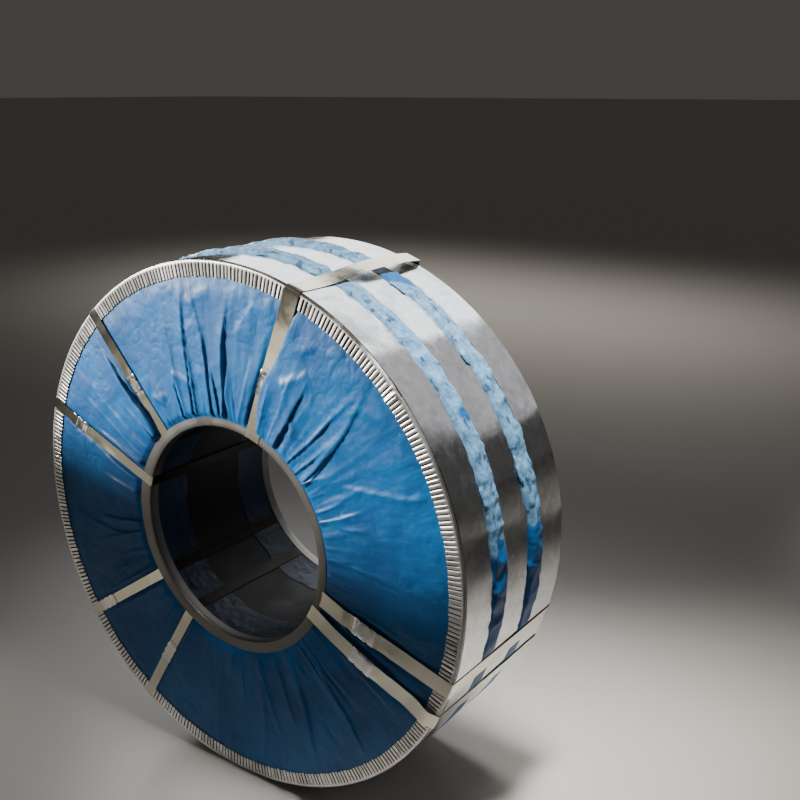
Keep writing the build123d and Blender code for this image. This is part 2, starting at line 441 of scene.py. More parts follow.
def strap_height(strap, radius):
    """Distance from mid width at which a strap's inner side crosses a radius on an end."""
    t = np.clip((strap_rim - radius) / (strap_rim - eye_flange_radius), 0, 1)
    return strap_low + t * (strap_eye(strap) - strap_low)


def inner_edge(angle):
    """Radius of the inner ring's free edge, which is trimmed wider at the left than on top."""
    uneven = 8 * np.clip(-np.cos(angle), 0, 1) ** 2 - 3 * (1 + np.sin(angle))
    return eye_flange_radius + uneven * MM


print("straps", len(straps), "over the inner ring", sum(s["over"] for s in straps))

# %% [markdown]
# The wrap is one sheet as wide as the coil and both its ends, rolled round the coil once with a
# lap, folded over both ends and tucked into the eye. At the rim it lies flat. At the eye the same
# cloth has less than half the length to lie in, so it is laid in knife pleats that start as soft
# ridges and end as sharp folds, one panel over the next. Each fold here is a line from the rim
# towards the eye, with a panel that climbs to the line on one side and drops steeply on the other.
# The larger ones are where the real coil has them, and the rest are drawn from a seeded series.

# %% Lines of the folds on the front
# Each fold: radius and polar angle where it starts, the same where it ends, rise, panel width, side
front_folds = [
    (573, 100.5, 285, 106.5, 7.0, 26, 1),
    (573, 98.5, 390, 96.0, 3.0, 14, 1),
    (385, 94.3, 275, 90.6, 6.5, 20, 1),
    (535, 87.5, 272, 89.0, 9.0, 24, 1),
    (372, 112.0, 280, 113.9, 6.0, 16, 1),
    (427, 77.5, 282, 80.4, 3.5, 14, -1),
    (450, 58.5, 285, 58.5, 9.0, 40, 1),
    (430, 42.8, 276, 39.0, 7.0, 22, 1),
    (585, 47.4, 300, 38.0, 4.0, 24, 1),
    (547, 135.3, 280, 135.8, 11.0, 60, 1),
    (550, 150.0, 300, 152.0, 2.5, 12, 1),
    (500, 146.0, 290, 147.5, 2.5, 10, 1),
    (561, 185.7, 302, 194.7, 3.0, 45, 1),
    (573, 359.0, 282, 5.6, 6.0, 45, 1),
    (584, 294.0, 283, 305.0, 9.0, 32, -1),
    (579, 277.1, 330, 285.0, 5.0, 26, -1),
    (450, 313.5, 330, 316.5, 5.0, 18, -1),
    (440, 264.5, 325, 269.3, 5.0, 20, -1),
    (578, 242.7, 345, 253.9, 3.5, 30, -1),
    (560, 262.0, 495, 262.6, 3.0, 14, -1),
    (575, 312.0, 430, 313.8, 5.0, 22, -1),
    (570, 327.9, 370, 329.4, 3.0, 22, 1),
]
# Short creases in any direction: radius and polar angle of both ends, rise and slope width. They
# drop on the left of the way from the first end to the second.
front_creases = [
    (350, 113.5, 379, 110.5, 5.0, 10),
    (379, 110.5, 345, 103.0, 6.0, 12),
    (322, 121.5, 352, 126.0, 5.0, 10),
    (352, 126.0, 340, 117.0, 4.0, 8),
    (520, 100.0, 545, 93.0, 3.5, 12),
    (470, 84.0, 540, 79.0, 4.0, 18),
    (415, 66.0, 470, 60.0, 6.0, 16),
    (330, 53.0, 415, 66.0, 8.0, 18),
    (530, 60.0, 480, 66.0, 4.0, 14),
    (381, 30.5, 481, 24.3, 5.0, 12),
    (481, 24.3, 545, 22.2, 4.5, 12),
    (355, 4.3, 434, 359.9, 5.0, 14),
    (434, 359.9, 475, 0.3, 4.5, 14),
    (475, 0.3, 529, 358.9, 4.0, 14),
    (400, 15.0, 330, 18.0, 4.0, 12),
    (540, 38.0, 500, 45.0, 3.5, 16),
    (430, 150.0, 500, 146.0, 3.0, 12),
    (560, 172.0, 500, 178.0, 3.5, 16),
]
print("folds taken from the coil", len(front_folds), "creases", len(front_creases))

# %% [markdown]
# Folds laid one by one would leave smooth cloth between them, so the skin of an end is a height over
# the steel that adds up: a slow bulge, three sets of gathers that run from rim to eye, crumples
# with sharp creases, and then the drawn folds and creases. A numpy grid of radius and angle is
# quicker than a simulation, and it gives the same cloth each time. Last, the cloth is pressed down
# under the flanges and the straps.

# %% Skin of an end, rolled out as height over the steel
# Where the outer flange ends, and the undersides of the outer flange's crimps and of the inner flange
flange_edge = ring_radius - 34 * MM
flange_back = ring_face - 2.4 * MM
eye_back = eye_face - sheet
# Sets of gathers: rise in mm, number round the coil, length in m, share left far from the eye
GATHERS = [(4.2, 22, 0.4, 0.5), (3.8, 56, 0.22, 0.25), (1.8, 130, 0.14, 0.3)]


def random_folds(seed, count, longest):
    """Pleats gathered at the eye, of uneven reach, rise and width."""
    draw = np.random.default_rng(seed)
    shortest, at_eye = 300, 262
    folds = []
    for n in range(count):
        turn = 360 * (n + draw.uniform(-0.4, 0.4)) / count
        reach = shortest + (longest - shortest) * draw.random() ** 1.8
        rise = draw.uniform(3.0, 9.0) * (0.55 + 0.45 * (reach - shortest) / (longest - shortest))
        side = 1 if math.sin(math.radians(turn)) > -0.2 else -1
        side = -side if draw.random() < 0.25 else side
        start_turn = turn + draw.uniform(-3.5, 3.5)
        folds.append((reach + 30, start_turn, at_eye, turn, rise, draw.uniform(6, 20), side))
    return folds


def ridged(points, scale, seed):
    """Noise folded over into crisp ridges, from 0 to 1."""
    return (1 - np.abs(noise_at(points, scale, seed))) ** 2


def gathered(radius, angle, around, depth, seed):
    """Ridges that run from rim to eye, about this many round the coil."""
    size = around / (2 * math.pi)
    flat = np.broadcast_arrays(size * np.cos(angle), size * np.sin(angle), radius / depth)
    return ridged(np.stack(flat, axis=-1), 1.0, seed)


def creases(points, scale, seed):
    """Height of a crumpled sheet: sharp creases round hollow facets."""
    flat = (points.reshape(-1, 3) / scale + seed).tolist()
    found = np.array([noise.voronoi(p)[0][:2] for p in flat])
    return 0.6 - np.clip(found[:, 1] - found[:, 0], 0, 0.6).reshape(points.shape[:-1])


def end_skin(radius, angle, folds, creases_of, seed):
    """Height over the steel's end and sideways shift of the cloth, for radii down and angles across."""
    points = place(0.0, radius, angle)
    free = np.clip((flange_edge - radius) / (flange_edge - eye_flange_radius), 0, 1)
    reach = smooth(flange_edge + 4 * MM, flange_edge - 34 * MM, radius)
    bulge = np.sin(math.pi * free) ** 0.9
    height = (2.0 + 2.0 * smooth(0.5, 0.3, radius)) * MM
    height = height + bulge * (3.5 + 3.0 * noise_at(points, 0.17, seed)) * MM
    near_eye = smooth(0.44, 0.29, radius) * reach
    for number, (rise, around, length, far) in enumerate(GATHERS, 1):
        pleats = gathered(radius, angle, around, length, seed + number)
        height = height + reach * rise * MM * pleats * (far + (1 - far) * near_eye)
    crumpled = np.clip(0.35 + noise_at(points, 0.13, seed + 4), 0, 1) * reach
    facets = 3.4 * creases(points, 0.07, seed) + 1.6 * creases(points, 0.032, seed)
    height = height + crumpled * facets * MM
    height = height + reach * 0.9 * noise_at(points, 0.05, seed + 7) * MM
    spread = np.zeros_like(height)
    for start, start_turn, end, end_turn, rise, width, side in folds:
        start, end, rise, width = start * MM, end * MM, rise * MM, width * MM
        t = np.clip((radius - end) / (start - end), 0, 1.15)
        line = math.radians(end_turn) + t * turns(math.radians(start_turn - end_turn))
        ribbon = place(0.0, radius, line)
        wander = 7 * MM * noise_at(ribbon, 0.1, seed + start)
        wander = wander + 0.8 * MM * noise_at(ribbon, 0.035, seed + end)
        away = side * (radius * turns(angle - line) + wander)
        grown = smooth(start + 25 * MM, start - 0.5 * (start - end), radius)
        narrow = width * (0.35 + 0.5 * t)
        climb = np.exp(-np.maximum(away, 0) / narrow)
        drop = np.exp(np.minimum(away, 0) / (2.4 * MM))
        here = rise * grown * climb * drop
        height = height + here
        spread = spread - side * here * 0.6 * np.exp(-np.abs(away) / (4 * MM))
    for first_radius, first_turn, last_radius, last_turn, rise, width in creases_of:
        first = first_radius * MM * np.exp(1j * math.radians(first_turn))
        last = last_radius * MM * np.exp(1j * math.radians(last_turn))
        along = (radius * np.exp(1j * angle) - first) / (last - first)
        kink = 0.05 * noise_at(points, 0.02, seed + last_radius)
        away = (along.imag + kink) * abs(last - first)
        gate = smooth(-0.12, 0.12, along.real) * smooth(1.12, 0.88, along.real)
        climb = np.exp(-np.maximum(-away, 0) / (width * MM))
        drop = np.exp(-np.maximum(away, 0) / (1.8 * MM))
        height = height + rise * MM * gate * reach * climb * drop
    return height, spread, reach


def press_down(height, radius, angle):
    """Keeps the cloth under the flanges and the straps."""
    ceiling = steel_end + 24 * MM
    near = smooth(flange_edge - 9 * MM, flange_edge + 1 * MM, radius)
    ceiling = (1 - near) * ceiling + near * (flange_back - gap)
    edge = inner_edge(angle)
    near = 1 - smooth(edge + 1 * MM, edge + 14 * MM, radius)
    ceiling = (1 - near) * ceiling + near * (eye_back - gap)
    for strap in straps:
        off = radius * turns(angle - strap_line(strap, radius))
        half = strap["half"] * MM
        lapped = np.interp(radius / MM, *zip(*strap["lapped"])) * MM
        lap_edge = half - lapped
        bulging = smooth(half + 45 * MM, half + 8 * MM, -off) * smooth(lap_edge, lap_edge + 3 * MM, -off)
        by_seal = np.exp(-(((radius - strap["seal"] * MM) / (38 * MM)) ** 2))
        covered = strap_height(strap, radius) - steel_end + sheet + (2.6 + 3.6 * by_seal) * MM
        height = height + bulging * np.clip(lapped / (6 * MM), 0, 1) * np.clip(covered - height, 0, None)
        bare_side = smooth(lap_edge + 1 * MM, lap_edge - 1 * MM, np.where(lapped > 1 * MM, -off, -1))
        right = smooth(half + 13 * MM, half + 2 * MM, -off) * bare_side
        left = smooth(half + 13 * MM, half + 2 * MM, off)
        under = np.minimum(left, right)
        pressed = strap_height(strap, radius) - 1.2 * MM
        ceiling = np.minimum(ceiling, (1 - under) * ceiling + under * pressed)
    top = ceiling - steel_end
    soft = top * np.tanh(np.maximum(height, 0.1 * MM) / np.maximum(top, 0.3 * MM))
    return np.clip(soft, 0.6 * MM, None)


# %% [markdown]
# Between the bands the cloth is slack. It is crushed into hollow facets with sharp creases round
# them where the top was handled, pushes out of the gaps and folds over the edges of the sheet metal
# here and there. Low on the right, and under the bands, it lies tight.

# %% Skin of the shell, between and under the bands
gaps_between = [
    (band_boxes["front"][1].y, band_boxes["middle"][0].y),
    (band_boxes["middle"][1].y, band_boxes["rear"][0].y),
]
tight = steel_radius + 1.6 * MM


def handled(angle):
    """Share of slack in the cloth round the coil: most at the top, least low on the right."""
    return 0.12 + 0.88 * smooth(-0.35, 0.35, np.sin(angle + 0.1) + 0.25 * np.sin(3 * angle + 1.0))


def clear_of_straps(angle, margin):
    """1 away from the straps, 0 under them."""
    clear = np.ones_like(angle)
    for strap in straps:
        off = np.abs(band_radius * turns(angle - math.radians(strap["rim"])))
        half = strap["half"] * MM
        clear = clear * smooth(half + 2 * MM, half + margin, off)
    return clear


def gap_rows(low, high, angle, seed):
    """Rows of cloth across one gap: up at each edge, over the band where it folds, and between."""
    slack = handled(angle) * clear_of_straps(angle, 16 * MM)
    lift = band_radius + 0.7 * MM - tight
    rows = []
    for edge, inward in ((low, 1), (high, -1)):
        along = place(edge, tight, angle)
        over = smooth(0.12 + 0.1 * inward, 0.45, noise_at(along, 0.05, seed + edge * 31)) * slack
        wander = 7 + 5 * noise_at(along, 0.06, seed + edge * 57) + 4 * noise_at(along, 0.022, seed)
        creep = over * wander * MM
        rise = over * lift
        side = [
            (-6 * MM, 0.2 * MM),
            (0.5 * MM, 0.5 * MM),
            (0.9 * MM - over * 0.5 * MM, 0.8 * MM + rise),
            (1.2 * MM - creep, 1.0 * MM + rise),
            (1.5 * MM - creep * 1.04 - over * 0.6 * MM, 1.4 * MM + rise + over * 0.8 * MM),
            (2.4 * MM - creep * 0.5, 1.8 * MM + rise + over * 1.6 * MM),
        ]
        rows.append([(edge + inward * shift, tight + height) for shift, height in side])
    inner = []
    for y in np.linspace(low + 4 * MM, high - 4 * MM, 11):
        across = (y - (low + high) / 2) / ((high - low) / 2)
        points = place(y, tight, angle)
        facets = 12.0 * creases(points * np.array([1, 0.8, 1]), 0.052, seed)
        facets = facets + 3.5 * creases(points, 0.026, seed + 3)
        loose = 3.0 + 2.2 * noise_at(points, 0.12, seed) + facets
        rise = 1.6 * MM + slack * loose * MM * (1 - 0.35 * across ** 2) + (1 - slack) * 0.7 * MM
        inner.append((y, tight + rise))
    return rows[0] + inner + rows[1][::-1]


def shell_ceiling(angle):
    """Radius that the cloth may reach: under the straps, and not below the floor."""
    ceiling = band_radius + (0.1 + 13 * clear_of_straps(angle, 20 * MM)) * MM
    down = np.clip(-np.sin(angle), 0.3, 1)
    return np.minimum(ceiling, (axis_z - 0.4 * MM) / down)


# %% [markdown]
# The wrap is then one net of rows round the coil: tucked in at the front, over the front end, along
# the shell, over the rear end and tucked in again. In the eye nothing is crumpled, so the tucks
# have half the columns, and a row of triangles joins the two.

# %% Rows of the whole wrap
# Columns round the coil: in the crumpled parts, and in the eye
FINE = 760
COARSE = FINE // 2
wrap_bore = bore_radius + sheet + gap
wrap_rim = tight
tuck = 110 * MM
fold_angle = np.linspace(0, 2 * math.pi, FINE, endpoint=False)
coarse_angle = fold_angle[::2]


def end_rows(count, sign, folds, creases_of, seed):
    """Rows of an end, closer together near the eye."""
    t = np.linspace(0, 1, count)
    radii = (wrap_bore + (wrap_rim - wrap_bore) * (0.72 * t + 0.28 * t * t))[1:-1, None]
    height, spread, reach = end_skin(radii, fold_angle, folds, creases_of, seed)
    height = press_down(height, radii, fold_angle)
    return place(sign * (steel_end + height), radii, fold_angle + spread * reach / radii)


def shell_rows(seed):
    """Rows of the shell: plain under the outer bands, and slack in the two gaps."""
    plain = [(2 * MM - steel_end, tight), (14 * MM - steel_end, tight)]
    rows = plain
    for low, high in gaps_between:
        rows = rows + gap_rows(low, high, fold_angle, seed)
    rows = rows + [(-y, radius) for y, radius in reversed(plain)]
    y, radius = (np.array([row[n] + 0 * fold_angle for row in rows]) for n in (0, 1))
    return place(y, np.minimum(radius, shell_ceiling(fold_angle)), fold_angle)


def tuck_rows(sign, seed):
    """Rows of the cloth that is tucked into the eye, with an uneven edge."""
    depth = np.linspace(0, 1, 7)[:, None]
    start = steel_end + 4 * MM
    y = sign * (start - 2 * MM - depth * (start - steel_end + tuck))
    ragged = noise_at(place(0.0, wrap_bore, coarse_angle), 0.05, seed)
    y = y - sign * 8 * MM * depth ** 4 * ragged
    radius = wrap_bore + 0.4 * MM * (1 + ragged) * smooth(0.1, 0.4, depth)
    for strap in straps:
        if not strap["over"]:
            off = np.abs(wrap_bore * turns(coarse_angle - math.radians(strap["eye"])))
            under = smooth((strap["half"] + 8) * MM, (strap["half"] + 2) * MM, off)
            radius = np.maximum(radius, wrap_bore + under * 1.2 * MM)
    return place(y, radius, coarse_angle)


front_pleats = front_folds + random_folds(seed=11, count=56, longest=500)
front = end_rows(48, -1, front_pleats, front_creases, seed=3.0)
shell = shell_rows(seed=5.0)
rear_pleats = random_folds(seed=23, count=22, longest=560) + random_folds(seed=29, count=60, longest=430)
rear = end_rows(24, 1, rear_pleats, [], seed=9.0)
front_tuck, rear_tuck = tuck_rows(-1, seed=4.0), tuck_rows(1, seed=6.0)
print("rows", len(front_tuck), len(front), len(shell), len(rear), len(rear_tuck))

# %% [markdown]
# A weave needs coordinates that lie square on the cloth. Round the shell they are plain lengths. On
# an end a turn has less and less way to go round, so each of 48 sectors keeps a square grid of its
# own: the tapes keep their width, and the short steps between sectors are lost in the pleats.

# %% The finished sheet and its weave
def join_coarse(coarse_start, fine_start, turned):
    """Triangles between a row of coarse and a row of fine columns."""
    faces = []
    for k in range(COARSE):
        c0, c1 = coarse_start + k, coarse_start + (k + 1) % COARSE
        f0, f1, f2 = (fine_start + (2 * k + n) % FINE for n in range(3))
        for face in ((c0, f0, f1), (c0, f1, c1), (c1, f1, f2)):
            faces.append(face[::-1] if turned else face)
    return faces


fine_part = np.concatenate([front, shell, rear])
n_tuck = len(front_tuck) * COARSE
n_fine = len(fine_part) * FINE
points = np.concatenate([part.reshape(-1, 3) for part in (front_tuck[::-1], fine_part, rear_tuck)])
faces = grid_faces(len(front_tuck), COARSE, False)
faces += grid_faces(len(fine_part), FINE, False, first=n_tuck)
faces += grid_faces(len(rear_tuck), COARSE, False, first=n_tuck + n_fine)
faces += join_coarse(n_tuck - COARSE, n_tuck, False)
faces += join_coarse(n_tuck + n_fine, n_tuck + n_fine - FINE, True)
wrap = make_piece("pleated_wrap", points, faces, cloth, "woven_wrap")


def faded_and_lit_share(points):
    """Share of chalky cloth, partly faded and handled and partly painted light on the upper side: in the
    gaps at the upper right, and a frayed edge below that.
    """
    x, y, z = points[:, 0], points[:, 1], points[:, 2] - axis_z
    turn = np.degrees(np.arctan2(z, x)) + 5 * noise_at(points, 0.05, 8.0)
    upper = smooth(5, 10, turn) * smooth(165, 120, turn)
    lower = smooth(-75, -50, turn) * smooth(12, 8, turn)
    fray = (5 + 4 * noise_at(points, 0.06, 2.0)) * MM
    share = np.zeros(len(points))
    for number, (low, high) in enumerate(gaps_between):
        inside = (np.hypot(x, z) > wrap_rim - 1 * MM) & (y > low - 16 * MM) & (y < high + 16 * MM)
        speckle = noise_at(points, 0.06, 12.0 + number)
        patchy = smooth(-0.8 + 0.3 * number, -0.45 + 0.12 * number, speckle)
        frayed = lower * (y > high - fray)
        share = np.where(inside, np.maximum(upper * patchy, 0.9 * frayed), share)
    return share


def eye_shade_share(points):
    """Share of painted shade: on the cloth tucked into the eye, which is made near black."""
    tucked_in = np.hypot(points[:, 0], points[:, 2] - axis_z) < wrap_bore + 6 * MM
    return 0.75 * smooth(steel_end + 2 * MM, steel_end - 12 * MM, np.abs(points[:, 1])) * tucked_in


paint(wrap, "faded", faded_and_lit_share(points))
paint(wrap, "oiled", eye_shade_share(points))
SECTORS = 48


def weave_uv(piece):
    """Cloth coordinates in metres. On an end, each sector keeps a square grid of its own."""
    mesh = piece.data
    corner = np.empty(len(mesh.loops), int)
    mesh.loops.foreach_get("vertex_index", corner)
    co = np.empty(len(mesh.vertices) * 3)
    mesh.vertices.foreach_get("co", co)
    co = co.reshape(-1, 3)[corner]
    x, z = co[:, 0], co[:, 2] - axis_z
    radius, angle = np.hypot(x, z), np.arctan2(z, x)
    total = np.empty(len(mesh.polygons), int)
    mesh.polygons.foreach_get("loop_total", total)
    face_of = np.repeat(np.arange(len(total)), total)
    centre = np.zeros((len(total), 3))
    np.add.at(centre, face_of, co)
    centre /= total[:, None]
    sector = np.round(np.arctan2(centre[:, 2] - axis_z, centre[:, 0]) / (2 * math.pi) * SECTORS)[face_of]
    middle = sector * 2 * math.pi / SECTORS
    on_shell = (np.hypot(centre[:, 0], centre[:, 2] - axis_z) > wrap_rim - 1 * MM)[face_of]
    round_shell = wrap_rim * turns(angle - middle) + wrap_rim * middle
    u = np.where(on_shell, round_shell, radius * np.sin(angle - middle))
    v = np.where(on_shell, co[:, 1], radius * np.cos(angle - middle))
    layer = mesh.uv_layers.new(name="weave")
    layer.data.foreach_set("uv", np.stack([u, v], axis=1).ravel())


weave_uv(wrap)
flat_width = 2 * (steel_end + (wrap_rim - wrap_bore) + tuck)

# %% [markdown]
# The outer edge ring is one strip of thin galvanised steel, crimped along one edge so that it can
# be bent round a circle: the crimps take up the length that the flange loses. Every crimp is a
# groove, painted dark as shade, and every stretch between two is a flat bright bar. No two are
# quite alike, since they were pressed one after the other, and where the ring's ends lap the bars
# are crushed.

# %% Outer edge rings
def flute_angles(count, draw):
    """Angles of six columns for each flute: groove, its side, three on the bar, the next side."""
    first = (np.arange(count) + draw.uniform(-0.13, 0.13, count)) / count
    pitch = np.diff(np.append(first, first[0] + 1))
    side = draw.uniform(0.17, 0.25, count)
    parts = np.stack([0 * side, side, side + 0.1, 0 * side + 0.5, 0.9 - side, 1 - side], axis=1)
    return ((first[:, None] + parts * pitch[:, None]) * 2 * math.pi).ravel()


def crushed(angle, y, turn, reach, seed):
    """Share of crumpling near a lap at an angle, and its random push."""
    near = np.exp(-(((turns(angle - math.radians(turn))) * ring_radius / reach) ** 2))
    return near, near * noise_at(place(y, ring_radius, angle), 9 * MM, seed)


def edge_ring(name, node, sign, seed, lap_turn):
    """A crimped ring: sign is -1 at the front and 1 at the rear, and lap_turn is where its ends lap."""
    count = 370
    draw = np.random.default_rng(seed)

    def for_each_bar(low, high):
        return np.repeat(draw.uniform(low, high, count), 6)[None, :]

    angle = flute_angles(count, draw)[None, :]
    columns = angle.shape[1]
    bottom = np.tile([1.0, 0.12, 0.0, -0.05, 0.0, 0.12], count)[None, :]
    depth = for_each_bar(1.3, 1.9) * MM
    lean = for_each_bar(-0.35, 0.35) * np.tile([0, -1, -0.7, 0, 0.7, 1], count) * MM
    reach = for_each_bar(-1.3, 1.3) * MM
    edge, bend, inner = flange_edge, ring_radius - 3.0 * MM, ring_radius - sheet
    # Section, from the flange's free edge over the bend to the end of the leg, and back inside
    outside = [(edge, 0), (edge + 10 * MM, 0), (edge + 19 * MM, 0), (bend - 6 * MM, 0),
               (bend - 3.6 * MM, 0), (bend - 1.5 * MM, 0.05 * MM), (bend + 1.4 * MM, 0.5 * MM),
               (ring_radius, 2.8 * MM), (ring_radius, 12 * MM), (ring_radius, ring_leg)]
    inside = [(inner, ring_leg), (inner, 12 * MM), (inner, 3.2 * MM), (bend - 1.5 * MM, sheet + 0.4 * MM),
              (bend - 6 * MM, sheet), (edge + 10 * MM, sheet), (edge, sheet)]
    section = np.array(outside + inside)
    radius, back = section[:, :1], section[:, 1:]
    fade = smooth(bend - 1.5 * MM, bend - 6 * MM, radius)
    groove = fade * depth * bottom + lean * fade
    at_edge = np.clip(1 - np.abs(radius - edge) / (3 * MM), 0, 1)
    radius = radius + reach * at_edge
    points = place(back, radius, angle)
    wave = 0.7 * MM * noise_at(points, 0.12, seed) * np.clip((bend - radius) / (bend - edge), 0, 1)
    near, push = crushed(angle, back, lap_turn, 16 * MM, seed + 0.5)
    back = back + groove + wave - 2.2 * MM * np.abs(push) - 0.8 * MM * near
    radius = radius + 1.6 * MM * push - 0.3 * MM * near * (back > 4 * MM)
    # Painted shade: black at the bottom of each groove and darker at the bend, over its reflection; and a
    # darker stretch from about 50 to 75 degrees
    bend_shade = 0.36 * smooth(bend - 2 * MM, bend + 0.5 * MM, radius) * (back < 6 * MM)
    turn = np.degrees(angle) % 360
    darker_stretch = 0.26 * smooth(48, 54, turn) * smooth(80, 70, turn)
    dirt = np.clip(fade * bottom + bend_shade + darker_stretch, 0, 1)
    points = place(sign * (ring_face - back), radius, angle)
    faces = grid_faces(len(section), columns, True)
    if sign < 0:
        faces = [face[::-1] for face in faces]
    piece = make_piece(name, points, faces, ring_metal, node, sharp=35)
    paint(piece, "dirt", dirt.ravel())


edge_ring("fluted_ring_front", "outer_edge_ring_front", -1, seed=31, lap_turn=42)
edge_ring("fluted_ring_rear", "outer_edge_ring_rear", 1, seed=37, lap_turn=118)

# %% [markdown]
# Bands and inner rings are long strips bent to a circle and lapped. A strip is drawn as a section
# carried round the axis a little more than once, with the tail lifted by the sheet's thickness
# where it comes to lie on the head. A slow waver of the sheet makes its reflections swim.

# %% Lapped strips
def lapped_strip(name, node, material, section, start_turn, lap, columns, lift, shape):
    """A closed section of (y, radius) points carried round from start_turn to its lap."""
    section = np.array(section)
    mean_radius = section[:, 1].mean()
    over = lap / mean_radius
    travel = np.linspace(0, 2 * math.pi + over, columns)
    step_up = smooth(2 * math.pi - 9 * MM / mean_radius, 2 * math.pi, travel)
    angle = math.radians(start_turn) + travel
    y, radius = shape(section[:, :1], section[:, 1:], angle, step_up)
    points = place(y, radius + step_up * lift, angle)
    make_piece(name, points, capped_faces(len(section), columns), material, node, sharp=30)


def band_shape(seed):
    """How a band wavers, with its edges a little proud."""
    def shape(y, radius, angle, step_up):
        points = place(y, radius, angle)
        middle = y.mean()
        slow = noise_at(points * np.array([1, 0.5, 1]), 0.22, seed)
        short = noise_at(points * np.array([1, 0.35, 1]), 0.055, seed + 3)
        half = np.abs(y - middle) / (np.ptp(y) / 2)
        edge = half ** 3 * np.clip(noise_at(points, 0.05, seed + 5), 0, 1)
        rise = 0.55 * MM * (slow + 0.6) + 0.22 * MM * short + 1.3 * MM * edge
        drift = 1.6 * MM * np.sin(2 * angle + seed)
        return y + drift, radius + np.clip(rise, 0, None)
    return shape


band_turns = {"front": 42, "middle": 152, "rear": 148}
for number, (where, (low, high)) in enumerate(band_boxes.items()):
    steps = np.linspace(low.y, high.y, 8)
    section = [(y, band_radius) for y in steps] + [(y, band_radius - sheet) for y in steps[::-3]]
    lapped_strip("band_" + where, "outer_band_" + where, band_metal, section,
                 start_turn=band_turns[where] - 3, lap=60 * MM, columns=720, lift=sheet,
                 shape=band_shape(3.0 + 11 * number))


def inner_shape(seed):
    """How an inner ring is dented, and trimmed unevenly at its free edge."""
    def shape(y, radius, angle, step_up):
        points = place(y, radius, angle)
        dent = noise_at(points, 0.045, seed)
        on_flange = smooth(bore_radius + 3 * MM, eye_flange_radius, radius)
        radius = radius + on_flange * (inner_edge(angle) - eye_flange_radius)
        edge = 1.0 * MM * on_flange * noise_at(points, 0.02, seed + 2)
        outward = np.sign(y) * (0.7 * MM * dent * on_flange + 0.9 * MM * step_up * on_flange)
        return y + outward, radius + edge + 0.3 * MM * (1 - on_flange) * np.clip(dent, 0, 1)
    return shape


def inner_ring(name, node, sign, seed, start_turn):
    """A plain L section ring on a corner of the eye: sign is -1 at the front and 1 at the rear."""
    edge, bore = eye_flange_radius, bore_radius
    outside = [(0.0, edge), (0.0, edge - 10 * MM), (0.0, bore + 12 * MM), (0.1 * MM, bore + 3 * MM),
               (0.9 * MM, bore + 0.9 * MM), (3 * MM, bore), (eye_leg / 2, bore), (eye_leg, bore)]
    inside = [(eye_leg, bore + sheet), (3.4 * MM, bore + sheet), (sheet, bore + 3.2 * MM), (sheet, edge)]
    section = [(sign * (eye_face - back), radius) for back, radius in outside + inside]
    if sign < 0:
        section = section[::-1]
    lapped_strip(name, node, inner_metal, section, start_turn,
                 lap=42 * MM, columns=400, lift=0.2 * MM, shape=inner_shape(seed))


inner_ring("inner_ring_front", "inner_edge_ring_front", -1, seed=41.0, start_turn=98)
inner_ring("inner_ring_rear", "inner_edge_ring_rear", 1, seed=43.0, start_turn=70)

# %% [markdown]
# The eye straps are flat steel strapping pulled tight through the eye and round the outside. Steel
# strap of this width will not bend edgewise, so each run stays straight while its face bows and
# twists a little. The two at the right were kinked when they were pulled up, and the one at the
# top has sprung clear of the bands and lies twisted on the end. Each is drawn as a thin section
# carried along a closed route.

# %% Route of a strap
# Radius of a strap's bends, and the shares of a bend at which it has a point
corner = 3.5 * MM
ARC = (0.25, 0.5, 0.75)


def strap_span(strap):
    """Length of a strap's straight run on an end, between its two corners."""
    return strap_rim - strap_in(strap) - 2 * corner


def strap_route(strap):
    """Closed route of a strap's inner side: y, radius, direction of its outward normal, run, share."""
    inner, eye, low = strap_in(strap), strap_eye(strap), strap_low
    lean = math.atan2(eye - low, strap_rim - eye_flange_radius)
    route = []

    def bend(y, radius, first, run, share):
        for t in ARC:
            turn = first - t * math.pi / 2
            route.append((y + corner * math.sin(turn), radius + corner * math.cos(turn), turn, run, share))

    def on_end(side, shares, run):
        for t in shares:
            radius = inner + corner + t * strap_span(strap)
            tilt = lean * (radius > eye_flange_radius)
            route.append((side * strap_height(strap, radius), radius, side * (math.pi / 2 - tilt), run, t))

    # A direction of 0 looks outwards from the axis, and of +90 degrees along +y
    for t in np.linspace(0, 1, 9):
        route.append((-eye + corner + t * 2 * (eye - corner), inner, math.pi, "eye", t))
    bend(eye - corner, inner + corner, math.pi, "rear", 0)
    on_end(1, np.linspace(0, 1, 13), "rear")
    bend(low - corner, strap_rim - corner, math.pi / 2, "rear", 1)
    for t in np.linspace(0, 1, 25):
        route.append((low - corner - t * 2 * (low - corner), strap_rim, 0, "top", t))
    bend(corner - low, strap_rim - corner, 0, "front", 1)
    on_end(-1, np.linspace(1, 0, 41), "front")
    bend(corner - eye, inner + corner, -math.pi / 2, "front", 0)
    return route


# %% [markdown]
# A tight strap would look like a drawn line. A real one bows a little between its corners, twists
# and has kinks, so each point of its section is lifted off the route by what its run asks for: the
# sprung run over the top, the kinked runs that were measured, and the plain bows of all others.

